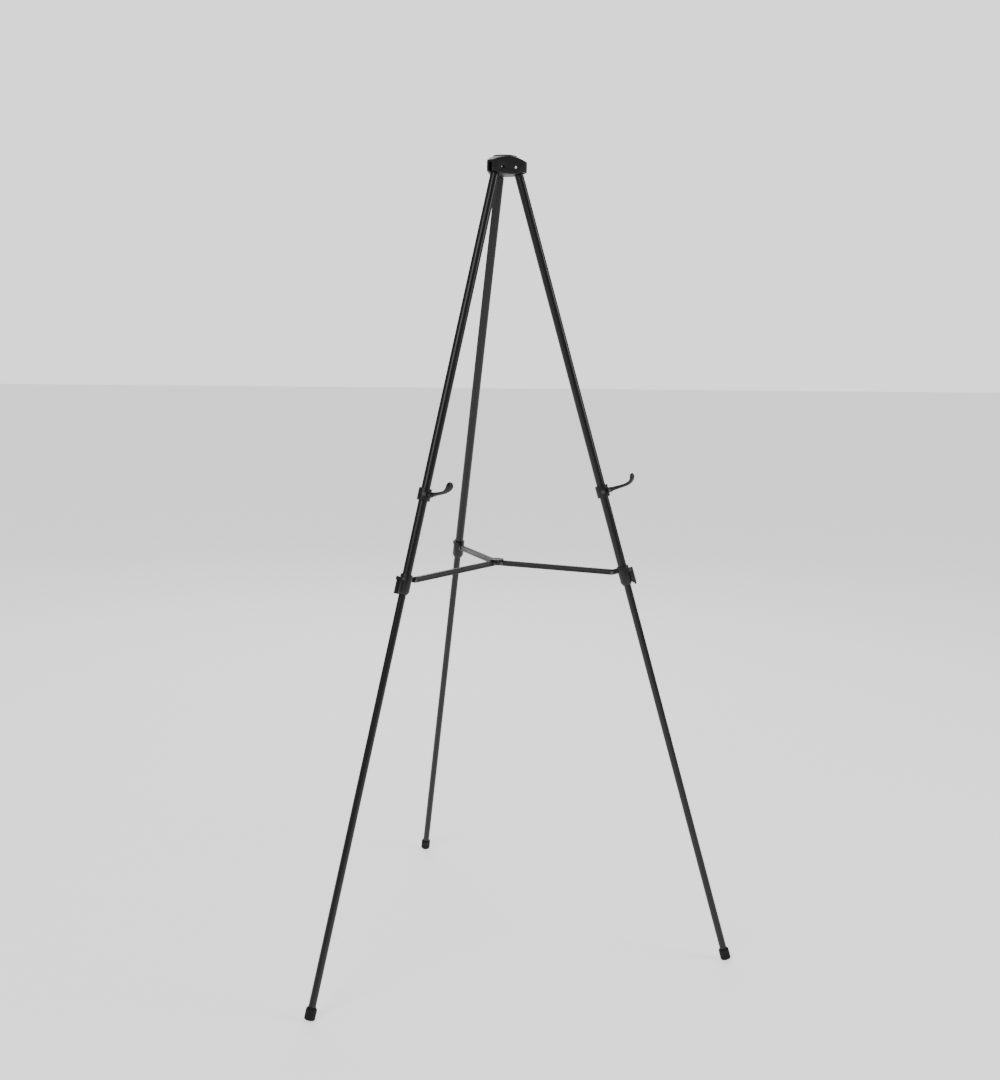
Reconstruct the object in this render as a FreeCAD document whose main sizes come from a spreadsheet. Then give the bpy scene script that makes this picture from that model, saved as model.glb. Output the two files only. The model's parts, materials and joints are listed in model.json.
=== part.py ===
"""Floor-standing telescopic easel: a three-legged folding stand with a central spreader, flip locks half way
down each leg and two canvas holders that slide on the front legs. Millimetres, +Z up, front towards -Y."""

import FreeCAD
import Part
import math
import os

V = FreeCAD.Vector

# Driving dimensions: each one is a cell of the sheet, with its name as the alias.
DIMS = {
    "leg_length": 1614.0,        # head pivot to the bottom of the foot, along the leg
    "splay": 16.7,               # leg from the vertical, degrees
    "pivot_ring": 24.4,          # head axis to each leg pivot
    "tube_radius": 8.5,
    "tube_bore": 7.5,
    "tube_start": 14.0,          # pivot to the top of the upper tube
    "inner_radius": 7.0,
    "inner_bore": 6.0,
    "inner_overlap": 60.0,       # lower tube inside the upper one
    "slide_gap": 0.05,           # radial running clearance
    "side_gap": 0.3,             # side clearance of pieces that swing
    "pin_radius": 3.0,
    "tongue_radius": 7.0,
    "tongue_width": 8.0,
    "plug_depth": 30.0,
    "head_radius": 42.0,
    "head_top_radius": 27.0,
    "head_face": 28.0,           # head axis to each long face
    "pin_length": 30.0,
    "head_top": 20.0,            # heights above and below the leg pivots
    "head_rim_top": 10.5,
    "head_rim_low": 7.0,
    "head_low": 13.0,
    "cap_height": 3.0,
    "collar_start": 790.0,       # pivot to the top of the collar, along the leg
    "collar_height": 38.0,
    "collar_radius": 11.5,
    "collar_lip": 12.0,          # part of the collar below the end of the upper tube
    "ear_inward": 22.2,          # leg axis to the strut rivet
    "ear_radius": 5.0,
    "lug_width": 5.0,
    "rivet_radius": 2.0,
    "rivet_head": 3.5,
    "rivet_head_height": 1.6,
    "strut_wall": 1.2,
    "strut_height": 10.0,
    "web_setback": 8.0,          # the strut's top web stops this far from each rivet
    "hub_ring": 11.4,            # head axis to each hub rivet
    "hub_rise": 6.6,             # hub rivets above the ear rivets
    "hub_plate_radius": 9.5,
    "hub_plate_height": 2.5,
    "lever_offset": 14.5,        # leg axis to the lever's pin
    "lever_drop": 10.0,          # collar top to the lever's pin
    "lever_width": 10.0,
    "lever_length": 26.0,
    "lever_thick": 7.0,
    "cheek": 3.0,
    "foot_radius": 10.25,
    "foot_height": 23.0,
    "foot_edge": 2.5,
    "holder_place": 638.0,       # pivot to the middle of the canvas holder, along the leg
    "holder_height": 23.0,
    "holder_radius": 12.5,
    "holder_reach": 19.0,        # leg axis to the arm's rivet
    "arm_length": 51.0,
    "arm_height": 8.0,
    "arm_cheek": 2.2,
    "pad_radius": 8.5,
    "pad_thick": 4.0,
    "screw_radius": 4.0,
    "screw_height": 3.0,
}

doc = FreeCAD.newDocument("Easel")
sheet = doc.addObject("Spreadsheet::Sheet", "Sizes")
for row, (alias, value) in enumerate(DIMS.items(), start=1):
    sheet.set(f"A{row}", alias)
    sheet.set(f"B{row}", str(value))
    sheet.setAlias(f"B{row}", alias)
doc.recompute()
size = {alias: float(getattr(sheet, alias)) for alias in DIMS}

NODES = []
BORE_OVERRUN = 1.0


def bind(thing, prop, formula):
    """Binds a size to the sheet: the formula's names are the sheet's aliases."""
    words = formula.replace("(", " ( ").replace(")", " ) ").split()
    thing.setExpression(prop, " ".join("Sizes." + word if word in DIMS else word for word in words))


def box(lengths, corner, turn=None):
    """A box from three length formulas and its low corner."""
    thing = doc.addObject("Part::Box", "Box")
    for prop, formula in zip(("Length", "Width", "Height"), lengths):
        bind(thing, prop, formula)
    thing.Placement = FreeCAD.Placement(V(*corner), turn or FreeCAD.Rotation())
    return thing


ALONG = {
    "x": FreeCAD.Rotation(V(0, 1, 0), 90),
    "y": FreeCAD.Rotation(V(1, 0, 0), -90),
    "z": FreeCAD.Rotation(),
}


def cylinder(radius, height, start, axis="z"):
    thing = doc.addObject("Part::Cylinder", "Cylinder")
    bind(thing, "Radius", radius)
    bind(thing, "Height", height)
    thing.Placement = FreeCAD.Placement(V(*start), ALONG[axis])
    return thing


def cone(low_radius, top_radius, height, start):
    thing = doc.addObject("Part::Cone", "Cone")
    bind(thing, "Radius1", low_radius)
    bind(thing, "Radius2", top_radius)
    bind(thing, "Height", height)
    thing.Placement = FreeCAD.Placement(V(*start), FreeCAD.Rotation())
    return thing


def prism(circumradius, height, low, azimuth):
    """A triangular prism on the axis, with one corner at the azimuth."""
    thing = doc.addObject("Part::Prism", "Prism")
    thing.Polygon = 3
    bind(thing, "Circumradius", circumradius)
    bind(thing, "Height", height)
    thing.Placement = FreeCAD.Placement(V(0, 0, low), FreeCAD.Rotation(V(0, 0, 1), azimuth))
    return thing


def fuse(*shapes):
    thing = doc.addObject("Part::MultiFuse", "Fuse")
    thing.Shapes = list(shapes)
    thing.Refine = True
    return thing


def cut(base, *tools):
    for tool in tools:
        step = doc.addObject("Part::Cut", "Cut")
        step.Base = base
        step.Tool = tool
        base = step
    return base


def keep(thing, label, frame):
    """Names a finished sub-part and places it from its own frame."""
    thing.Label = label
    thing.Placement = frame.multiply(thing.Placement)
    NODES.append(thing)


# Heights and offsets worked out from the driving dimensions.
tilt = math.radians(size["splay"])
foot_flat = size["foot_radius"] - size["foot_edge"]
pivot_height = (
    (size["leg_length"] - size["foot_edge"]) * math.cos(tilt) + foot_flat * math.sin(tilt) + size["foot_edge"]
)
edge_reach = size["pivot_ring"] + (size["leg_length"] - size["foot_edge"]) * math.sin(tilt)
rear_reach = edge_reach + foot_flat * math.cos(tilt) + size["foot_edge"]
front_reach = edge_reach / 2 + foot_flat * math.sqrt(1 - (math.sin(tilt) / 2) ** 2) + size["foot_edge"]
head_y = (front_reach - rear_reach) / 2
HEAD = FreeCAD.Placement(V(0, head_y, pivot_height), FreeCAD.Rotation())


def turned(degrees):
    return FreeCAD.Placement(V(), FreeCAD.Rotation(V(0, 0, 1), degrees))


LEGS = {"rear": 90.0, "left": 210.0, "right": 330.0}


def leg_frame(azimuth):
    """At the leg's pivot, +X outward and square to the leg, +Z up along the leg."""
    lean = FreeCAD.Placement(V(size["pivot_ring"], 0, 0), FreeCAD.Rotation(V(0, 1, 0), -size["splay"]))
    return HEAD.multiply(turned(azimuth)).multiply(lean)


def make_head():
    """A triangle with cut corners and chamfered edges; each corner has a slot for a leg, open outward and down."""
    low = -size["head_low"]
    faces = prism("2 * head_face", "head_low + head_top", low, 90.0)
    corners = prism("2 * head_radius", "head_low + head_top", low, 270.0)
    slots = []
    for azimuth in LEGS.values():
        slot_half = size["tongue_width"] / 2 + size["side_gap"]
        slot_start = size["pivot_ring"] - size["tongue_radius"] - 3 * size["side_gap"]
        slot = box(
            ("head_radius", "tongue_width + 2 * side_gap", "head_low + tongue_radius + 3 * side_gap + 1"),
            (slot_start, -slot_half, low - BORE_OVERRUN),
        )
        slot.Placement = turned(azimuth).multiply(slot.Placement)
        slots.append(slot)
        bore_start = (size["pivot_ring"], -size["head_radius"], 0)
        bore = cylinder("pin_radius", "2 * head_radius", bore_start, "y")
        bore.Placement = turned(azimuth).multiply(bore.Placement)
        slots.append(bore)
    rim = cylinder("head_radius + pin_radius", "head_rim_low + head_rim_top", (0, 0, -size["head_rim_low"]))
    top = cone(
        "head_radius + pin_radius", "head_top_radius", "head_top - head_rim_top", (0, 0, size["head_rim_top"])
    )
    base = cone("head_top_radius", "head_radius + pin_radius", "head_low - head_rim_low", (0, 0, low))
    body = doc.addObject("Part::MultiCommon", "HeadBody")
    body.Shapes = [faces, corners, fuse(rim, top, base)]
    keep(cut(body, *slots), "head_body", HEAD)
    keep(cylinder("head_top_radius - 4", "cap_height", (0, 0, size["head_top"])), "head_cap", HEAD)
    for name, azimuth in LEGS.items():
        pin = cylinder("pin_radius", "pin_length", (size["pivot_ring"], -size["pin_length"] / 2, 0), "y")
        keep(pin, f"{name}_head_pin", HEAD.multiply(turned(azimuth)))


def make_rivet(label, x, z, frame):
    """A rivet along Y through a lug and the strut or arm around it, with a head on each side."""
    half = size["lug_width"] / 2 + 2 * size["side_gap"] + size["strut_wall"]
    shaft = cylinder("rivet_radius", "lug_width + 4 * side_gap + 2 * strut_wall", (x, -half, z), "y")
    near = cylinder("rivet_head", "rivet_head_height", (x, -half - size["rivet_head_height"], z), "y")
    far = cylinder("rivet_head", "rivet_head_height", (x, half, z), "y")
    keep(fuse(shaft, near, far), label, frame)


def make_upper(name, frame):
    """The top plug with its open hook, the upper tube and the flip-lock collar."""
    collar_low = -size["collar_start"] - size["collar_height"]
    tube_end = collar_low + size["collar_lip"]
    length = "collar_start + collar_height - collar_lip - tube_start"
    tube = cylinder("tube_radius", length, (0, 0, tube_end))
    keep(cut(tube, cylinder("tube_bore", length, (0, 0, tube_end))), f"{name}_upper_tube", frame)

    half = size["tongue_width"] / 2
    shank = cylinder("tube_bore", "plug_depth", (0, 0, -size["tube_start"] - size["plug_depth"]))
    neck = box(
        ("2 * tongue_radius", "tongue_width", "tube_start"),
        (-size["tongue_radius"], -half, -size["tube_start"]),
    )
    tongue = cylinder("tongue_radius", "tongue_width", (0, -half, 0), "y")
    eye = cylinder("pin_radius + slide_gap", "tongue_width", (0, -half, 0), "y")
    mouths = []
    for rise in (41.0, 48.0, 55.0):
        turn = FreeCAD.Rotation(V(0, 1, 0), 180 + rise)
        start = turn.multVec(V(0, -half, -size["pin_radius"] - size["slide_gap"]))
        mouths.append(box(("2 * tongue_radius", "tongue_width", "2 * ( pin_radius + slide_gap )"), start, turn))
    keep(cut(fuse(shank, neck, tongue), eye, *mouths), f"{name}_top_plug", frame)

    make_collar(name, frame, collar_low)


def make_collar(name, frame, collar_low):
    ear_z = -size["collar_start"] - size["ear_radius"] - 2
    taper = size["collar_lip"] / 2
    body = cylinder("collar_radius", "collar_height - collar_lip / 2", (0, 0, collar_low + taper))
    skirt = cone("tube_radius", "collar_radius", "collar_lip / 2", (0, 0, collar_low))
    lug = box(
        ("ear_inward", "lug_width", "2 * ear_radius"),
        (-size["ear_inward"], -size["lug_width"] / 2, ear_z - size["ear_radius"]),
    )
    ear = cylinder("ear_radius", "lug_width", (-size["ear_inward"], -size["lug_width"] / 2, ear_z), "y")
    lever_z = -size["collar_start"] - size["lever_drop"]
    cheek_half = size["lever_width"] / 2 + size["side_gap"] + size["cheek"]
    boss = box(
        ("lever_offset + rivet_head", "lever_width + 2 * side_gap + 2 * cheek", "2 * rivet_head"),
        (0, -cheek_half, lever_z - size["rivet_head"]),
    )
    gap_half = size["lever_width"] / 2 + size["side_gap"]
    gap = box(
        ("lever_offset", "lever_width + 2 * side_gap", "4 * rivet_head"),
        (size["lever_offset"] - size["rivet_head"] + size["side_gap"] * 0.5, -gap_half, lever_z - 2 * size["rivet_head"]),
    )
    lever_hole = cylinder(
        "rivet_radius", "lever_width + 2 * side_gap + 2 * cheek", (size["lever_offset"], -cheek_half, lever_z), "y"
    )
    seat = cylinder("tube_radius", "collar_height - collar_lip", (0, 0, collar_low + size["collar_lip"]))
    passage = cylinder("inner_radius + slide_gap", "collar_height", (0, 0, collar_low))
    half = size["lug_width"] / 2
    ear_hole = cylinder("rivet_radius", "lug_width", (-size["ear_inward"], -half, ear_z), "y")
    solid = fuse(body, skirt, lug, ear, boss)
    keep(cut(solid, gap, lever_hole, seat, passage, ear_hole), f"{name}_collar", frame)
    make_rivet(f"{name}_ear_rivet", -size["ear_inward"], ear_z, frame)

    pin = cylinder(
        "rivet_radius", "lever_width + 2 * side_gap + 2 * cheek", (size["lever_offset"], -cheek_half, lever_z), "y"
    )
    keep(pin, f"{name}_lever_pin", frame)
    width_half = size["lever_width"] / 2
    inner = size["collar_radius"] + size["side_gap"]
    knuckle = cylinder("rivet_head - side_gap", "lever_width", (size["lever_offset"], -width_half, lever_z), "y")
    plate = box(
        ("lever_thick", "lever_width", "lever_length"), (inner, -width_half, lever_z - size["lever_length"])
    )
    finger = box(
        ("lever_thick / 2", "lever_width", "lever_thick / 2"),
        (inner + size["lever_thick"] / 2, -width_half, lever_z - size["lever_length"] - size["lever_thick"] / 2),
    )
    hole = cylinder("rivet_radius + slide_gap", "lever_width", (size["lever_offset"], -width_half, lever_z), "y")
    keep(cut(fuse(knuckle, plate, finger), hole), f"{name}_flip_lever", frame)


def make_lower(name, frame):
    """The telescoping tube with its guide bush at the top and its rubber foot."""
    tube_low = -size["leg_length"] + size["foot_height"] / 3
    tube_top = -size["collar_start"] - size["collar_height"] + size["collar_lip"] + size["inner_overlap"]
    length = "leg_length - foot_height / 3 - collar_start - collar_height + collar_lip + inner_overlap"
    tube = cylinder("inner_radius", length, (0, 0, tube_low))
    keep(cut(tube, cylinder("inner_bore", length, (0, 0, tube_low))), f"{name}_lower_tube", frame)
    bush = fuse(
        cylinder("tube_bore - slide_gap", "tube_radius", (0, 0, tube_top)),
        cylinder("inner_bore", "plug_depth / 2", (0, 0, tube_top - size["plug_depth"] / 2)),
    )
    keep(bush, f"{name}_guide_bush", frame)
    bottom = -size["leg_length"]
    edge = size["foot_edge"]
    side = cylinder("foot_radius", "foot_height - 3 * foot_edge", (0, 0, bottom + edge))
    sole = cylinder("foot_radius - foot_edge", "foot_edge", (0, 0, bottom))
    shoulder = cone(
        "foot_radius", "inner_radius + 1", "2 * foot_edge", (0, 0, bottom + size["foot_height"] - 2 * edge)
    )
    rim = doc.addObject("Part::Torus", "FootRim")
    bind(rim, "Radius1", "foot_radius - foot_edge")
    bind(rim, "Radius2", "foot_edge")
    rim.Placement = FreeCAD.Placement(V(0, 0, bottom + edge), FreeCAD.Rotation())
    socket = cylinder("inner_radius", "foot_height", (0, 0, tube_low))
    keep(cut(fuse(side, sole, shoulder, rim), socket), f"{name}_foot", frame)


def make_spreader():
    """Three channel struts from the legs' ears up to a small hub plate with a lug for each."""
    ear_z = -size["collar_start"] - size["ear_radius"] - 2
    ear_x = size["pivot_ring"] - size["ear_inward"] * math.cos(tilt) - ear_z * math.sin(tilt)
    ear_height = -size["ear_inward"] * math.sin(tilt) + ear_z * math.cos(tilt)
    run = ear_x - size["hub_ring"]
    length = math.hypot(run, size["hub_rise"])
    sheet.set("D1", str(length))
    sheet.setAlias("D1", "strut_length")
    DIMS["strut_length"] = length
    doc.recompute()
    slope = math.degrees(math.atan2(size["hub_rise"], run))
    hub_frame = HEAD.multiply(FreeCAD.Placement(V(0, 0, ear_height + size["hub_rise"]), FreeCAD.Rotation()))
    web_low = size["strut_height"] / 2 + size["side_gap"]
    half_lug = size["lug_width"] / 2
    plates = [cylinder("hub_plate_radius + ear_radius", "hub_plate_height", (0, 0, web_low))]
    holes = []
    for name, azimuth in LEGS.items():
        lug = box(
            ("hub_ring", "lug_width", "strut_height / 2 + side_gap + ear_radius"), (0, -half_lug, -size["ear_radius"])
        )
        eye = cylinder("ear_radius", "lug_width", (size["hub_ring"], -half_lug, 0), "y")
        hole = cylinder("rivet_radius", "lug_width", (size["hub_ring"], -half_lug, 0), "y")
        for piece in (lug, eye, hole):
            piece.Placement = turned(azimuth).multiply(piece.Placement)
        plates += [lug, eye]
        holes.append(hole)
        make_rivet(f"{name}_hub_rivet", size["hub_ring"], 0, hub_frame.multiply(turned(azimuth)))
        lean = FreeCAD.Placement(V(size["hub_ring"], 0, 0), FreeCAD.Rotation(V(0, 1, 0), slope))
        make_strut(name, hub_frame.multiply(turned(azimuth)).multiply(lean))
    keep(cut(fuse(*plates), *holes), "spreader_hub", hub_frame)


def make_strut(name, frame):
    """A channel open underneath: two side strips, rounded at the rivets, and a top web between them."""
    inner_half = size["lug_width"] / 2 + size["side_gap"]
    strips = []
    holes = []
    for side in (-inner_half - size["strut_wall"], inner_half):
        strips.append(box(("strut_length", "strut_wall", "strut_height"), (0, side, -size["strut_height"] / 2)))
        for end in (0.0, DIMS["strut_length"]):
            strips.append(cylinder("strut_height / 2", "strut_wall", (end, side, 0), "y"))
            holes.append(cylinder("rivet_radius + slide_gap", "strut_wall", (end, side, 0), "y"))
    web = box(
        ("strut_length - 2 * web_setback", "lug_width + 2 * side_gap + 2 * strut_wall", "strut_wall"),
        (size["web_setback"], -inner_half - size["strut_wall"], size["strut_height"] / 2 - size["strut_wall"]),
    )
    keep(cut(fuse(web, *strips), *holes), f"{name}_strut", frame)


# Each holder's direction seen from above, and how far its arm is raised at rest, in degrees.
HOLDERS = {"left": (-68.0, 11.0), "right": (-50.0, 5.0)}
SCREW_AZIMUTH = 252.0


def make_holder(name, frame):
    """A ring that slides on the upper tube, and a forked arm on a rivet that ends in an upright pad."""
    azimuth, rise = HOLDERS[name]
    place = FreeCAD.Placement(V(0, 0, -size["holder_place"]), FreeCAD.Rotation())
    ring_frame = frame.multiply(place).multiply(turned(azimuth - LEGS[name]))
    low = -size["holder_height"] / 2
    ring = cylinder("holder_radius", "holder_height", (0, 0, low))
    half_lug = size["lug_width"] / 2
    lug = box(("holder_reach", "lug_width", "2 * ear_radius"), (0, -half_lug, -size["ear_radius"]))
    eye = cylinder("ear_radius", "lug_width", (size["holder_reach"], -half_lug, 0), "y")
    passage = cylinder("tube_radius + slide_gap", "holder_height", (0, 0, low))
    hole = cylinder("rivet_radius", "lug_width", (size["holder_reach"], -half_lug, 0), "y")
    keep(cut(fuse(ring, lug, eye), passage, hole), f"{name}_holder_clamp", ring_frame)
    make_rivet(f"{name}_arm_rivet", size["holder_reach"], 0, ring_frame)
    screw_frame = frame.multiply(place).multiply(turned(SCREW_AZIMUTH - LEGS[name]))
    screw = cylinder("screw_radius", "screw_height", (size["holder_radius"], 0, 0), "x")
    keep(screw, f"{name}_clamp_screw", screw_frame)

    lean = FreeCAD.Placement(V(size["holder_reach"], 0, 0), FreeCAD.Rotation(V(0, 1, 0), -rise))
    half = size["lug_width"] / 2 + size["side_gap"] + size["strut_wall"]
    width = "lug_width + 2 * side_gap + 2 * strut_wall"
    bar = box(("arm_length", width, "arm_height"), (0, -half, -size["arm_height"] / 2))
    root = cylinder("arm_height / 2", width, (0, -half, 0), "y")
    fork_half = size["lug_width"] / 2 + size["side_gap"]
    fork = box(
        ("2 * web_setback", "lug_width + 2 * side_gap", "arm_height"),
        (-size["web_setback"], -fork_half, -size["arm_height"] / 2),
    )
    hole = cylinder("rivet_radius + slide_gap", width, (0, -half, 0), "y")
    pad = cylinder("pad_radius", "pad_thick", (size["arm_length"], 0, size["pad_radius"] - size["arm_height"] / 2), "x")
    keep(cut(fuse(bar, root, pad), fork, hole), f"{name}_holder_arm", ring_frame.multiply(lean))


make_head()
for leg, leg_azimuth in LEGS.items():
    make_upper(leg, leg_frame(leg_azimuth))
    make_lower(leg, leg_frame(leg_azimuth))
make_spreader()
for leg in HOLDERS:
    make_holder(leg, leg_frame(LEGS[leg]))

doc.recompute()
for thing in doc.Objects:
    if {"Invalid", "Error"} & set(thing.State):
        raise RuntimeError(f"{thing.Label} did not compute: {thing.State}")
for node in NODES:
    if node.Shape.isNull() or not node.Shape.isValid() or len(node.Shape.Solids) != 1:
        raise RuntimeError(f"{node.Label} is not one valid solid")
os.makedirs("parts", exist_ok=True)
for node in NODES:
    node.Shape.exportStep(f"parts/{node.Label}.step")
print(f"{len(NODES)} sub-parts, pivot height {pivot_height:.3f}, head y {head_y:.3f}")
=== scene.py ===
"""A black floor-standing display easel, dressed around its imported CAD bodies."""

import json
import logging
import math
from dataclasses import dataclass, field
from enum import Enum

import bmesh
import bpy
from mathutils import Matrix, Vector


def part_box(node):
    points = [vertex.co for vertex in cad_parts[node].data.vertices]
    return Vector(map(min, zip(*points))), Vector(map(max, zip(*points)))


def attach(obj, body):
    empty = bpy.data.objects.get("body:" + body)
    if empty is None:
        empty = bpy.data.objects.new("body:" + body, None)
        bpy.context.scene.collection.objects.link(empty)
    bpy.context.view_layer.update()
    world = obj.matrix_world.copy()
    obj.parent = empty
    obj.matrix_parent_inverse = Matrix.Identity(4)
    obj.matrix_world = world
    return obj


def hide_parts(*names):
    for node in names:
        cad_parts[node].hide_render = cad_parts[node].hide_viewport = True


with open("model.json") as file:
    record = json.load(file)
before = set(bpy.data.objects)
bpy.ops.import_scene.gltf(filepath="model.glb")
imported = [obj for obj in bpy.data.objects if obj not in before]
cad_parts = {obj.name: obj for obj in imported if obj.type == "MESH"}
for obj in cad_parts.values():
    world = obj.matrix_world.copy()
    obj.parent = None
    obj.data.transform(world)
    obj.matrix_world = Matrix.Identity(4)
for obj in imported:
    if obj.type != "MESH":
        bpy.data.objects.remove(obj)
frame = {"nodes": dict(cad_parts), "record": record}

LOG = logging.getLogger("easel")
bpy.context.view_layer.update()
LEGS = ("rear", "left", "right")
HOLDER_SIDES = ("left", "right")
MM = 0.001
WELD = 0.01 * MM  # vertices closer than this are merged
SMOOTH_ANGLE = math.radians(32)
BEVEL_ANGLE = math.radians(35)
FLAT_ANGLE = math.radians(1.0)
HUB_EDGE = 0.5 * MM
Triple = tuple[float, float, float]
OvalRing = tuple[float, float, float, float, float]


class Grain(Enum):
    """How a moulded or painted surface breaks up the light."""

    PEEL = "peel"
    SPARK = "spark"
    PORES = "pores"


class Sock:
    """A node socket that takes part in Python expressions."""

    def __init__(self, tree: bpy.types.NodeTree, link: bpy.types.NodeSocket) -> None:
        """Wraps one output socket.

        Args:
            tree: The node tree that new nodes go into.
            link: The socket to read.
        """
        self.tree = tree
        self.link = link

    def math(self, operation: str, other: "Sock | float", swap: bool = False) -> "Sock":
        """Adds a Math node.

        Args:
            operation: The Math node's operation.
            other: The second value.
            swap: True puts the second value first.

        Returns:
            The node's result.
        """
        node = self.tree.nodes.new("ShaderNodeMath")
        node.operation = operation
        pair = (other, self) if swap else (self, other)
        for socket, value in zip(node.inputs, pair):
            plug(self.tree, socket, value)
        return Sock(self.tree, node.outputs[0])

    def __add__(self, other: "Sock | float") -> "Sock":
        """Sum."""
        return self.math("ADD", other)

    __radd__ = __add__

    def __mul__(self, other: "Sock | float") -> "Sock":
        """Product."""
        return self.math("MULTIPLY", other)

    __rmul__ = __mul__

    def __sub__(self, other: "Sock | float") -> "Sock":
        """Difference."""
        return self.math("SUBTRACT", other)

    def __rsub__(self, other: float) -> "Sock":
        """Difference with the value first."""
        return self.math("SUBTRACT", other, swap=True)

    def over(self, edge: float, width: float) -> "Sock":
        """A soft step.

        Args:
            edge: The value where the step is half way.
            width: The step's width.

        Returns:
            0 below the step and 1 above it.
        """
        rise = (self - (edge - width / 2)) * (1 / width)
        return rise.math("MAXIMUM", 0.0).math("MINIMUM", 1.0)


def plug(tree: bpy.types.NodeTree, socket: bpy.types.NodeSocket, value: object) -> None:
    """Links or sets one input.

    Args:
        tree: The node tree.
        socket: The input.
        value: A Sock, or the input's own value.
    """
    if isinstance(value, Sock):
        tree.links.new(value.link, socket)
    else:
        socket.default_value = value


@dataclass
class Shader:
    """A material in the making."""

    name: str
    material: bpy.types.Material = field(init=False)
    tree: bpy.types.NodeTree = field(init=False)
    surface: bpy.types.Node = field(init=False)

    def __post_init__(self) -> None:
        """Makes the empty material with its main shader."""
        self.material = bpy.data.materials.new(self.name)
        self.material.use_nodes = True
        self.tree = self.material.node_tree
        self.surface = self.tree.nodes["Principled BSDF"]

    def node(self, kind: str, settings: dict, inputs: dict, output: int | str = 0) -> Sock:
        """Adds any node.

        Args:
            kind: The node's type.
            settings: The node's own settings, set first.
            inputs: Values or links by input name or number.
            output: The output to return.

        Returns:
            That output.
        """
        made = self.tree.nodes.new(kind)
        for name, value in settings.items():
            setattr(made, name, value)
        for name, value in inputs.items():
            plug(self.tree, made.inputs[name], value)
        return Sock(self.tree, made.outputs[output])

    def place(self, scale: Triple = (1, 1, 1), turn: Triple = (0, 0, 0)) -> Sock:
        """Object coordinates, stretched.

        Args:
            scale: The stretch along each axis.
            turn: The turn about each axis, in radians.

        Returns:
            The coordinates.
        """
        where = self.node("ShaderNodeTexCoord", {}, {}, "Object")
        return self.node("ShaderNodeMapping", {}, {"Vector": where, "Scale": scale, "Rotation": turn})

    def noise(self, scale: float, detail: float = 3.0, where: Sock | None = None) -> Sock:
        """Noise around a half.

        Args:
            scale: Its scale per metre.
            detail: Its octaves.
            where: The coordinates, or the object's own.

        Returns:
            The noise.
        """
        inputs = {"Vector": where or self.place(), "Scale": scale, "Detail": detail}
        return self.node("ShaderNodeTexNoise", {}, inputs, "Fac")

    def mix(self, factor: Sock | float, low: object, high: object) -> Sock:
        """A colour between two.

        Args:
            factor: 0 for the first, 1 for the second.
            low: The first colour.
            high: The second colour.

        Returns:
            The colour.
        """
        inputs = {0: factor, 6: low, 7: high}  # its colour sockets share their names with others
        return self.node("ShaderNodeMix", {"data_type": "RGBA"}, inputs, 2)

    def bump(self, height: Sock, distance: float, strength: float = 0.5) -> Sock:
        """A bump from a height.

        Args:
            height: The height, 0 to 1.
            distance: Its depth in metres.
            strength: The bump's strength.

        Returns:
            The bent normal.
        """
        inputs = {"Height": height, "Distance": distance, "Strength": strength}
        return self.node("ShaderNodeBump", {}, inputs, "Normal")

    def set(self, **inputs: object) -> None:
        """Sets the main shader's inputs, with _ for a space."""
        for name, value in inputs.items():
            plug(self.tree, self.surface.inputs[name.replace("_", " ")], value)


def shade(level: float, warmth: float = 0.0) -> tuple[float, float, float, float]:
    """A near-neutral colour.

    Args:
        level: Its brightness.
        warmth: How much redder than blue it is.

    Returns:
        Red, green, blue and alpha.
    """
    return (level * (1 + warmth), level, level * (1 - warmth), 1.0)


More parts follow.
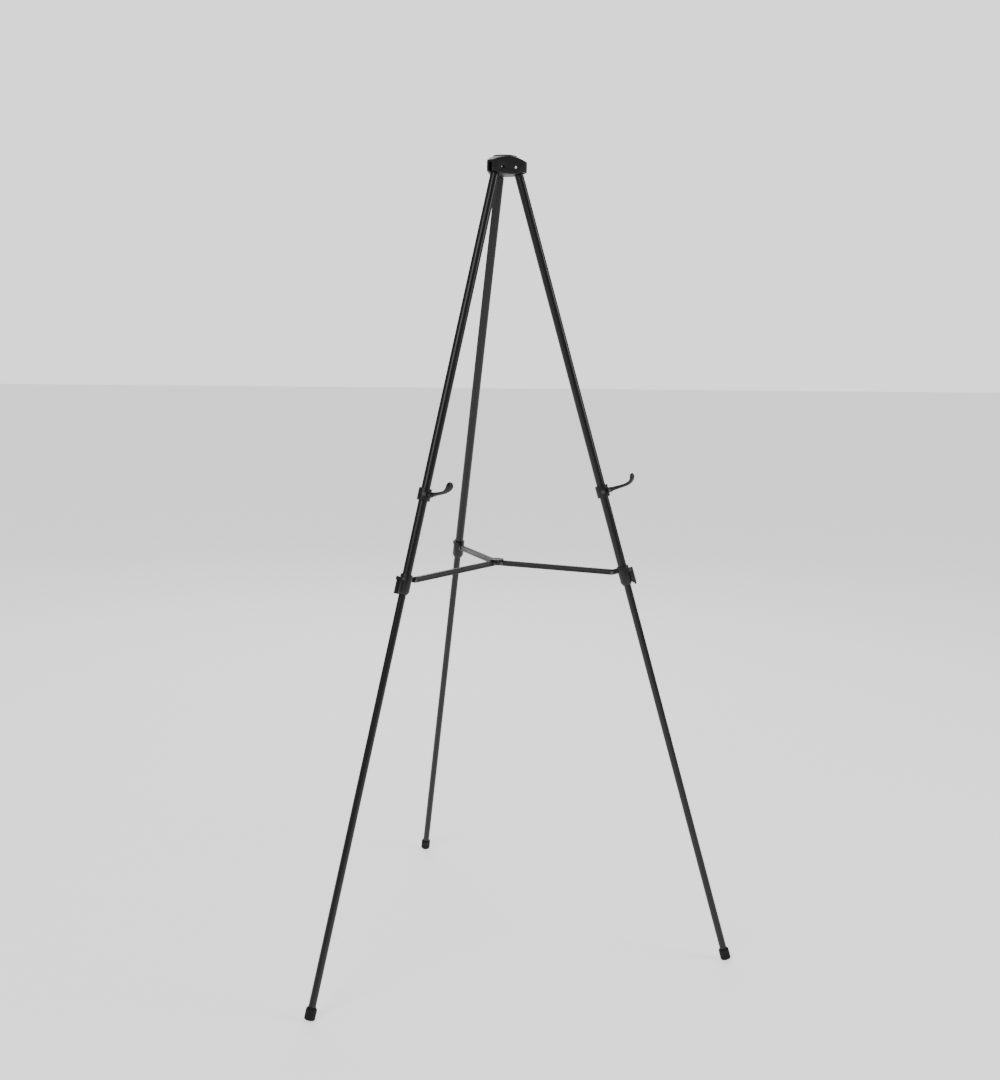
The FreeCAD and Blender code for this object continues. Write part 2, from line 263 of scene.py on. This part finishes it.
@dataclass(frozen=True)
class BlackFinish:
    """A black finish: paint on metal, moulded plastic or rubber, with its wear and its dust.

    Noise scales are per metre, and amounts are shares of the full mark.
    """

    name: str
    base: float
    worn: float
    rough: float
    rough_spread: float
    grain: Grain
    grain_scale: float
    grain_depth: float
    coat: float = 0.0
    coat_rough: float = 0.18
    specular: float = 0.3
    metal: float = 0.0
    cloud_scale: float = 9.0
    handled_scale: float = 55.0
    scuff_scale: float = 90.0
    scuff_stretch: float = 0.06
    dust_scale: float = 420.0
    wear: float = 0.55
    dust: float = 0.05

    def build(self) -> bpy.types.Material:
        """Builds the material.

        Returns:
            The material.
        """
        work = Shader(self.name)
        cloud = work.noise(self.cloud_scale, 4.0)
        handled = work.noise(self.handled_scale, 5.0)
        upright = work.place((1.0, 1.0, self.scuff_stretch), (0.05, 0.02, 0.0))
        scuffs = work.noise(self.scuff_scale, 6.0, upright).over(0.66, 0.05)
        dust = work.noise(self.dust_scale, 2.0).over(0.66, 0.08)
        mark = scuffs * handled.over(0.52, 0.2)
        tone = work.mix(cloud, shade(self.base * 0.75, -0.03), shade(self.base * 1.35, 0.02))
        tone = work.mix(mark * self.wear, tone, shade(self.worn, 0.02))
        tone = work.mix(dust * self.dust, tone, shade(0.12, 0.04))
        spread = (handled - 0.5) * self.rough_spread + (cloud - 0.5) * (self.rough_spread * 0.6)
        fine = self.grain_height(work)
        work.set(
            Base_Color=tone,
            Roughness=spread + mark * 0.14 + dust * 0.1 + self.rough,
            Normal=work.bump(fine - mark * 0.5, self.grain_depth),
            Metallic=self.metal,
            Coat_Weight=self.coat,
            Coat_Roughness=self.coat_rough,
            Specular_IOR_Level=self.specular,
        )
        return work.material

    def grain_height(self, work: Shader) -> Sock:
        """The fine relief of the surface.

        Args:
            work: The material in the making.

        Returns:
            Its height, 0 to 1.
        """
        if self.grain is Grain.PEEL:
            return work.noise(self.grain_scale, 2.0) * 0.7 + work.noise(self.grain_scale * 0.25, 2.0) * 0.3
        inputs = {"Vector": work.place(), "Scale": self.grain_scale}
        cells = work.node("ShaderNodeTexVoronoi", {"feature": "F1"}, inputs, "Distance")
        if self.grain is Grain.SPARK:
            return cells * 0.8 + work.noise(self.grain_scale * 0.5, 3.0) * 0.4
        return cells.over(0.4, 0.5) * 0.5 + work.noise(self.grain_scale * 0.3, 5.0) * 0.7


@dataclass(frozen=True)
class ZincFinish:
    """Plated steel, with a fine turned grain and small dull specks."""

    name: str = "bright_zinc"
    base: float = 0.62
    rough: float = 0.24
    grain_scale: float = 2400.0
    grain_depth: float = 0.03 * MM
    speck_scale: float = 700.0

    def build(self) -> bpy.types.Material:
        """Builds the material.

        Returns:
            The material.
        """
        work = Shader(self.name)
        grain = work.noise(self.grain_scale, 4.0, work.place((1.0, 1.0, 0.2)))
        specks = work.noise(self.speck_scale, 4.0).over(0.62, 0.1)
        tone = work.mix(specks * 0.5, shade(self.base, 0.01), shade(self.base * 0.55, 0.05))
        work.set(
            Base_Color=work.mix(grain * 0.25, tone, shade(self.base * 0.8, -0.03)),
            Roughness=grain * 0.16 + specks * 0.2 + self.rough,
            Normal=work.bump(grain, self.grain_depth, 0.3),
            Metallic=1.0,
        )
        return work.material


@dataclass(frozen=True)
class FloorFinish:
    """A plain pale studio floor, which also gives off light of its own."""

    name: str = "studio_floor"
    dull: float = 0.88
    bright: float = 0.92
    glow: float = 0.95

    def build(self) -> bpy.types.Material:
        """Builds the material.

        Returns:
            The material.
        """
        work = Shader(self.name)
        tone = work.mix(work.noise(1.2, 2.0), shade(self.dull), shade(self.bright))
        work.set(Base_Color=tone, Roughness=0.9, Emission_Color=shade(1.0), Emission_Strength=self.glow)
        return work.material


TUBE_PAINT = BlackFinish(
    "satin_tube_paint", 0.005, 0.022, 0.30, 0.12, Grain.PEEL, 900.0, 0.04 * MM, coat=0.08
)
STRIP_PAINT = BlackFinish(
    "satin_strip_paint", 0.007, 0.03, 0.34, 0.14, Grain.PEEL, 1100.0, 0.04 * MM, coat=0.08
)
PLASTIC = BlackFinish("grained_black_plastic", 0.005, 0.022, 0.42, 0.12, Grain.SPARK, 1500.0, 0.06 * MM)
LEVER_PLASTIC = BlackFinish("smooth_black_plastic", 0.006, 0.024, 0.32, 0.12, Grain.PEEL, 1600.0, 0.03 * MM)
RUBBER = BlackFinish("black_rubber", 0.005, 0.02, 0.74, 0.14, Grain.PORES, 900.0, 0.12 * MM)


def dress(piece: bpy.types.Object, material: bpy.types.Material) -> None:
    """Gives a whole piece one material, and reports it.

    Args:
        piece: The piece.
        material: Its material.
    """
    piece.data.materials.clear()
    piece.data.materials.append(material)
    LOG.info("piece %s in %s", piece.name, material.name)


def only(piece: bpy.types.Object) -> None:
    """Selects one object and makes it active."""
    bpy.ops.object.select_all(action="DESELECT")
    piece.select_set(True)
    bpy.context.view_layer.objects.active = piece


def settle(piece: bpy.types.Object, name: str, place: Matrix | None = None) -> bpy.types.Object:
    """Names a piece, puts its place into its mesh and shades it.

    Args:
        piece: The piece.
        name: Its name.
        place: Where its own frame lies.

    Returns:
        The piece.
    """
    only(piece)
    piece.name = name
    if place is not None:
        piece.matrix_world = place @ piece.matrix_world
    bpy.ops.object.transform_apply(location=True, rotation=True, scale=True)
    bpy.ops.object.shade_smooth_by_angle(angle=SMOOTH_ANGLE)
    return piece


def bevel(piece: bpy.types.Object, width: float, segments: int = 3) -> None:
    """Rounds a piece's sharp edges.

    Args:
        piece: The piece.
        width: The bevel's width in metres.
        segments: Its steps.
    """
    only(piece)
    rounding = piece.modifiers.new("Rounding", "BEVEL")
    rounding.width = width
    rounding.segments = segments
    rounding.limit_method = "ANGLE"
    rounding.angle_limit = BEVEL_ANGLE
    bpy.ops.object.modifier_apply(modifier=rounding.name)


def joint_row(name: str) -> dict:
    """The record's row for a joint.

    Args:
        name: The joint's name.

    Returns:
        The row.
    """
    return next(row for row in frame["record"]["behaviour"]["joints"] if row["name"] == name)


def body_with(node: str) -> str:
    """Finds the moving body that a CAD node belongs to.

    Args:
        node: The node's name.

    Returns:
        The body's name.
    """
    groups = frame["record"]["behaviour"]["bodies"]
    return next(body for body, nodes in groups.items() if node in nodes)


def softened(node: str, width: float) -> bpy.types.Object:
    """A copy of a CAD node with merged faces and rounded edges, which stands for the node.

    Args:
        node: The node's name.
        width: The rounding in metres.

    Returns:
        The piece.
    """
    source = frame["nodes"][node]
    piece = bpy.data.objects.new(f"{node}_shell", source.data.copy())
    bpy.context.scene.collection.objects.link(piece)
    only(piece)
    bpy.ops.object.mode_set(mode="EDIT")
    bpy.ops.mesh.select_all(action="SELECT")
    bpy.ops.mesh.remove_doubles(threshold=WELD)
    bpy.ops.mesh.dissolve_limited(angle_limit=FLAT_ANGLE)
    bpy.ops.object.mode_set(mode="OBJECT")
    bevel(piece, width)
    settle(piece, f"{node}_shell")
    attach(piece, body_with(node))
    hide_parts(node)
    return piece


@dataclass
class Stand:
    """What all sub-assemblies share: the finishes."""

    tube: bpy.types.Material = field(default_factory=TUBE_PAINT.build)
    strip: bpy.types.Material = field(default_factory=STRIP_PAINT.build)
    plastic: bpy.types.Material = field(default_factory=PLASTIC.build)
    lever: bpy.types.Material = field(default_factory=LEVER_PLASTIC.build)
    rubber: bpy.types.Material = field(default_factory=RUBBER.build)
    zinc: bpy.types.Material = field(default_factory=ZincFinish().build)
    dark_steel: bpy.types.Material = field(default_factory=ZincFinish("dark_plated_steel", 0.085, 0.33).build)

    def carry(self, node: str, material: bpy.types.Material) -> None:
        """Dresses a CAD node that stays as it is."""
        dress(frame["nodes"][node], material)

    def shell(self, node: str, material: bpy.types.Material, width: float) -> bpy.types.Object:
        """Makes a softened piece for a node.

        Args:
            node: The node's name.
            material: Its material.
            width: The rounding in metres.

        Returns:
            The piece.
        """
        piece = softened(node, width)
        dress(piece, material)
        return piece


@dataclass
class Axis:
    """The straight line that a leg runs along."""

    leg: str
    middle: Vector = field(init=False)
    up: Vector = field(init=False)

    def __post_init__(self) -> None:
        """Reads the line from the leg's slide and its lower tube."""
        self.up = Vector(joint_row(f"{self.leg}_leg_slide")["axis"]).normalized()
        low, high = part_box(f"{self.leg}_lower_tube")
        self.middle = (Vector(low) + Vector(high)) / 2

    def reach(self, node: str) -> tuple[float, float]:
        """Where a node begins and ends along the leg.

        Args:
            node: The node's name.

        Returns:
            Its lowest and highest distance from the lower tube's middle.
        """
        steps = [(vertex.co - self.middle).dot(self.up) for vertex in frame["nodes"][node].data.vertices]
        return min(steps), max(steps)

    def place(self, along: float) -> Matrix:
        """A frame on the leg, +Z up the leg and +X outward.

        Args:
            along: Its distance from the lower tube's middle.

        Returns:
            The frame.
        """
        outward = Vector((self.middle.x, self.middle.y, 0)) - Vector((self.hub.x, self.hub.y, 0))
        side = self.up.cross(outward).normalized()
        front = side.cross(self.up).normalized()
        turn = Matrix((front, side, self.up)).transposed().to_4x4()
        return Matrix.Translation(self.middle + self.up * along) @ turn

    @property
    def hub(self) -> Vector:
        """The middle of the spreader's hub."""
        low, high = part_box("spreader_hub")
        return (Vector(low) + Vector(high)) / 2


def lathe(name: str, profile: list[tuple[float, float]], place: Matrix, steps: int = 48) -> bpy.types.Object:
    """Spins an outline of radius and height into a closed solid.

    Args:
        name: The piece's name.
        profile: Radius and height pairs in metres, from the axis round to the axis.
        place: The frame that it stands in.
        steps: The spin's steps.

    Returns:
        The piece.
    """
    bpy.ops.object.select_all(action="DESELECT")
    bpy.ops.mesh.primitive_plane_add(size=MM, location=(0, 0, 0))
    piece = bpy.context.active_object
    bpy.ops.object.mode_set(mode="EDIT")
    work = bmesh.from_edit_mesh(piece.data)
    bmesh.ops.delete(work, geom=list(work.verts), context="VERTS")
    points = [work.verts.new((radius, 0, height)) for radius, height in profile]
    for first, second in zip(points, points[1:]):
        work.edges.new((first, second))
    bmesh.update_edit_mesh(piece.data)
    bpy.ops.mesh.select_all(action="SELECT")
    bpy.ops.mesh.spin(steps=steps, angle=math.tau, center=(0, 0, 0), axis=(0, 0, 1))
    bpy.ops.mesh.select_all(action="SELECT")
    bpy.ops.mesh.remove_doubles(threshold=WELD)
    bpy.ops.mesh.normals_make_consistent(inside=False)
    bpy.ops.object.mode_set(mode="OBJECT")
    return settle(piece, name, place)


def swept(rings: tuple[OvalRing, ...], steps: int = 28) -> bpy.types.Object:
    """Bridges a row of oval rings into a closed bar.

    Args:
        rings: For each ring its X and Z, its half width and half height, in millimetres, and its rise
            in degrees.
        steps: Each ring's corners.

    Returns:
        The piece.
    """
    loops = []
    bpy.ops.object.select_all(action="DESELECT")
    for along, over, half_width, half_height, rise in rings:
        bpy.ops.mesh.primitive_circle_add(vertices=steps, radius=1.0)
        loop = bpy.context.active_object
        size = Matrix.Diagonal((half_height * MM, half_width * MM, 1.0, 1.0))
        turn = Matrix.Rotation(math.radians(90 - rise), 4, "Y")
        loop.matrix_world = Matrix.Translation((along * MM, 0, over * MM)) @ turn @ size
        loops.append(loop)
    bpy.ops.object.select_all(action="DESELECT")
    for loop in loops:
        loop.select_set(True)
    bpy.context.view_layer.objects.active = loops[0]
    bpy.ops.object.transform_apply(location=True, rotation=True, scale=True)
    bpy.ops.object.join()
    piece = loops[0]
    bpy.ops.object.mode_set(mode="EDIT")
    bpy.ops.mesh.select_all(action="SELECT")
    bpy.ops.mesh.bridge_edge_loops()
    bpy.ops.mesh.select_all(action="DESELECT")
    bpy.ops.mesh.select_non_manifold()
    bpy.ops.mesh.edge_face_add()
    bpy.ops.mesh.select_all(action="SELECT")
    bpy.ops.mesh.normals_make_consistent(inside=False)
    bpy.ops.object.mode_set(mode="OBJECT")
    return piece


def arc(
    middle: tuple[float, float], radius: float, start: float, end: float, count: int = 6
) -> list[tuple[float, float]]:
    """Points round part of a circle.

    Args:
        middle: The circle's middle, radius and height.
        radius: Its radius.
        start: The first angle in degrees.
        end: The last angle.
        count: How many steps.

    Returns:
        Radius and height pairs.
    """
    turns = [math.radians(start + (end - start) * step / count) for step in range(count + 1)]
    return [(middle[0] + radius * math.cos(turn), middle[1] + radius * math.sin(turn)) for turn in turns]


@dataclass
class Head:
    """The head, a triangle with cut corners, with its cap and its hinge pins."""

    stand: Stand
    edge: float = 1.1 * MM
    pin_edge: float = 0.5 * MM

    def build(self) -> None:
        """Builds the head."""
        self.stand.shell("head_body", self.stand.plastic, self.edge)
        self.stand.shell("head_cap", self.stand.lever, self.edge / 2)
        for leg in LEGS:
            self.stand.shell(f"{leg}_head_pin", self.stand.zinc, self.pin_edge)


@dataclass
class Foot:
    """A spun rubber foot with grip rings and a rolled mouth."""

    stand: Stand
    axis: Axis
    radius: float = 10.25 * MM
    tube: float = 7.02 * MM
    sole_edge: float = 2.5 * MM
    groove: float = 0.55 * MM
    grooved_share: float = 0.55
    shoulder: float = 2.2 * MM
    shoulder_drop: float = 4.2 * MM
    lip: float = 0.6 * MM
    rings: int = 3

    def profile(self, height: float, floor: float) -> list[tuple[float, float]]:
        """The foot's outline, with the socket that the tube stands in.

        Args:
            height: The foot's height.
            floor: The socket's floor above the sole.

        Returns:
            Radius and height pairs.
        """
        line = [(0.0, 0.0)]
        line += arc((self.radius - self.sole_edge, self.sole_edge), self.sole_edge, -90, 0)
        pitch = height * self.grooved_share / (self.rings + 1)
        for ring in range(self.rings):
            middle = self.sole_edge + pitch * (ring + 1)
            line += [(self.radius, middle - self.groove), (self.radius - self.groove, middle)]
            line += [(self.radius, middle + self.groove)]
        line += arc((self.radius - self.shoulder, height - self.shoulder_drop), self.shoulder, 0, 70)
        line += arc((self.tube + self.lip, height - self.lip), self.lip, 0, 180)
        line += [(self.tube, floor), (0.0, floor)]
        return line

    def build(self) -> None:
        """Builds the foot in the CAD foot's place."""
        node = f"{self.axis.leg}_foot"
        low, high = self.axis.reach(node)
        floor = self.axis.reach(f"{self.axis.leg}_lower_tube")[0] - low
        piece = lathe(f"{node}_rubber", self.profile(high - low, floor), self.axis.place(low))
        dress(piece, self.stand.rubber)
        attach(piece, f"{self.axis.leg}_lower_leg")
        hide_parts(node)


@dataclass
class Lever:
    """A flip lever with raised grip ribs across its face."""

    stand: Stand
    axis: Axis
    ribs: int = 5
    rib_size: Triple = (1.0 * MM, 7.6 * MM, 1.2 * MM)
    first_rib: float = 5.0 * MM
    pitch: float = 2.8 * MM
    face: float = 18.8 * MM
    edge: float = 0.9 * MM
    rib_edge: float = 0.35 * MM

    def build(self) -> None:
        """Builds the lever and its ribs."""
        leg = self.axis.leg
        self.stand.shell(f"{leg}_flip_lever", self.stand.lever, self.edge)
        low = self.axis.reach(f"{leg}_flip_lever")[0]
        for rib in range(self.ribs):
            bpy.ops.object.select_all(action="DESELECT")
            bpy.ops.mesh.primitive_cube_add(size=1.0, location=(self.face, 0, 0), scale=self.rib_size)
            piece = bpy.context.active_object
            bpy.ops.object.transform_apply(location=True, rotation=True, scale=True)
            bevel(piece, self.rib_edge, 2)
            place = self.axis.place(low + self.first_rib + self.pitch * rib)
            settle(piece, f"{leg}_lever_rib_{rib}", place)
            dress(piece, self.stand.lever)
            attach(piece, f"{leg}_lever")


@dataclass
class Leg:
    """One leg: plug, telescoping tubes, collar, lever, strut, rivets and foot."""

    stand: Stand
    leg: str
    plug_edge: float = 0.4 * MM
    collar_edge: float = 0.7 * MM
    strut_edge: float = 0.35 * MM
    rivet_edge: float = 0.6 * MM

    def build(self) -> None:
        """Builds the leg."""
        stand, leg = self.stand, self.leg
        for part in ("upper_tube", "lower_tube"):
            stand.carry(f"{leg}_{part}", stand.tube)
        stand.carry(f"{leg}_guide_bush", stand.lever)
        stand.shell(f"{leg}_top_plug", stand.plastic, self.plug_edge)
        stand.shell(f"{leg}_collar", stand.plastic, self.collar_edge)
        stand.shell(f"{leg}_strut", stand.strip, self.strut_edge)
        stand.carry(f"{leg}_lever_pin", stand.dark_steel)
        for part in ("ear_rivet", "hub_rivet"):
            stand.shell(f"{leg}_{part}", stand.dark_steel, self.rivet_edge)
        axis = Axis(leg)
        Lever(stand, axis).build()
        Foot(stand, axis).build()


@dataclass
class Holder:
    """A canvas holder: clamp ring, screw, rivet and arm with its upright pad."""

    stand: Stand
    side: str
    eye: float = 4.0 * MM
    cheek: float = 1.2 * MM
    cheek_y: float = 3.4 * MM
    cheek_length: float = 11.0 * MM
    cheek_height: float = 6.8 * MM
    cheek_edge: float = 0.3 * MM
    clamp_edge: float = 0.8 * MM
    rivet_edge: float = 0.6 * MM
    rings: tuple[OvalRing, ...] = (
        (8.0, 0.0, 4.0, 3.9, 0.0),
        (14.0, -0.1, 3.8, 3.6, 0.0),
        (22.0, -0.3, 3.5, 3.2, 0.0),
        (32.0, -0.3, 3.6, 3.1, 4.0),
        (40.0, 0.6, 4.6, 3.3, 14.0),
        (46.0, 2.8, 6.4, 3.6, 32.0),
        (50.0, 6.0, 7.9, 3.7, 52.0),
        (52.0, 9.6, 8.4, 3.5, 68.0),
        (52.9, 13.0, 7.6, 3.2, 80.0),
        (53.2, 15.8, 5.2, 2.5, 86.0),
        (53.3, 17.2, 2.4, 1.3, 88.0),
    )

    def build(self) -> None:
        """Builds the holder."""
        stand, side = self.stand, self.side
        stand.shell(f"{side}_holder_clamp", stand.plastic, self.clamp_edge)
        stand.shell(f"{side}_arm_rivet", stand.dark_steel, self.rivet_edge)
        stand.shell(f"{side}_clamp_screw", stand.dark_steel, self.rivet_edge)
        self.arm()

    def arm_place(self) -> Matrix:
        """The arm's frame: +X along the arm, +Y along its rivet and +Z up from its seat.

        Returns:
            The frame.
        """
        tilt = joint_row(f"{self.side}_arm_tilt")
        mounts = frame["record"]["mounts"]
        seat = next(mount for mount in mounts if mount["name"] == f"{self.side}_arm_seat")
        side = -Vector(tilt["axis"]).normalized()
        upward = Vector(seat["axis"]).normalized()
        turn = Matrix((side.cross(upward), side, upward)).transposed().to_4x4()
        return Matrix.Translation(Vector(tilt["pos_m"])) @ turn

    def arm(self) -> None:
        """Builds the arm: two cheeks at the rivet and a slim bar that turns up into a rounded pad."""
        bpy.ops.object.select_all(action="DESELECT")
        cheeks = []
        for way in (-1, 1):
            bpy.ops.mesh.primitive_cylinder_add(
                vertices=32,
                radius=self.eye,
                depth=self.cheek,
                location=(0, way * self.cheek_y, 0),
                rotation=(math.pi / 2, 0, 0),
            )
            cheeks.append(bpy.context.active_object)
            bpy.ops.mesh.primitive_cube_add(
                size=1.0,
                location=(self.cheek_length / 2, way * self.cheek_y, 0),
                scale=(self.cheek_length, self.cheek, self.cheek_height),
            )
            cheeks.append(bpy.context.active_object)
        for piece in cheeks:
            only(piece)
            bpy.ops.object.transform_apply(location=True, rotation=True, scale=True)
            bevel(piece, self.cheek_edge, 2)
        bar = swept(self.rings)
        only(bar)
        for piece in cheeks:
            piece.select_set(True)
        bpy.ops.object.join()
        node = f"{self.side}_holder_arm"
        settle(bar, f"{node}_hook", self.arm_place())
        dress(bar, self.stand.lever)
        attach(bar, f"{self.side}_arm")
        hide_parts(node)


@dataclass
class Studio:
    """The pale floor, the soft lights and the camera.

    Each light has its place and its side in metres and its power in watts. The camera's offset is in
    pivot heights, from the floor below the head. The backdrop is brighter to the eye than as a light.
    """

    floor_size: float = 60.0
    head_axis_y: float = -0.1217
    pivot_height: float = 1.5483
    camera_offset: Triple = (-0.543, -1.585, 0.790)
    yaw: float = math.radians(19.05)
    pitch: float = math.radians(-8.60)
    roll: float = math.radians(1.22)
    lens: float = 43.93
    light_aim: float = 0.9
    world: float = 0.32
    seen_world: float = 1.6
    lights: tuple[tuple[Triple, float, float], ...] = (
        ((-2.6, -2.4, 3.0), 1.8, 60.0),
        ((2.8, -1.8, 2.4), 1.4, 36.0),
        ((0.6, 2.8, 3.2), 2.4, 60.0),
    )

    def build(self) -> None:
        """Builds the studio."""
        bpy.ops.object.select_all(action="DESELECT")
        bpy.ops.mesh.primitive_plane_add(size=self.floor_size, location=(0, 0, 0))
        floor = bpy.context.active_object
        floor.name = "studio_floor"
        dress(floor, FloorFinish().build())
        world = bpy.context.scene.world or bpy.data.worlds.new("Studio")
        bpy.context.scene.world = world
        world.use_nodes = True
        backdrop = world.node_tree.nodes["Background"]
        backdrop.inputs["Color"].default_value = (1.0, 1.0, 1.0, 1.0)
        rays = world.node_tree.nodes.new("ShaderNodeLightPath")
        seen = Sock(world.node_tree, rays.outputs["Is Camera Ray"])
        plug(world.node_tree, backdrop.inputs["Strength"], seen * (self.seen_world - self.world) + self.world)
        for place, side, power in self.lights:
            lamp = bpy.data.lights.new("Soft", "AREA")
            lamp.size = side
            lamp.energy = power
            light = bpy.data.objects.new("Soft", lamp)
            bpy.context.scene.collection.objects.link(light)
            light.location = place
            beam = Vector((0, 0, self.light_aim)) - Vector(place)
            light.rotation_euler = beam.to_track_quat("-Z", "Y").to_euler()
        self.camera()

    def camera(self) -> None:
        """Puts the camera in front and to the left, a little lower than the head."""
        data = bpy.data.cameras.new("Camera")
        data.lens = self.lens
        camera = bpy.data.objects.new("Camera", data)
        bpy.context.scene.collection.objects.link(camera)
        ahead = Vector((math.sin(self.yaw), math.cos(self.yaw), math.tan(self.pitch))).normalized()
        right = Vector((math.cos(self.yaw), -math.sin(self.yaw), 0))
        over = right.cross(ahead)
        leaned = right * math.cos(self.roll) + over * math.sin(self.roll)
        upward = over * math.cos(self.roll) - right * math.sin(self.roll)
        turn = Matrix((leaned, upward, -ahead)).transposed().to_4x4()
        place = Vector(self.camera_offset) * self.pivot_height + Vector((0, self.head_axis_y, 0))
        camera.matrix_world = Matrix.Translation(place) @ turn
        bpy.context.scene.camera = camera


def main() -> None:
    """Builds the easel and its studio."""
    logging.basicConfig(level=logging.INFO)
    stand = Stand()
    Head(stand).build()
    stand.shell("spreader_hub", stand.strip, HUB_EDGE)
    for leg in LEGS:
        Leg(stand, leg).build()
    for side in HOLDER_SIDES:
        Holder(stand, side).build()
    Studio().build()


if __name__ == "__main__":
    main()
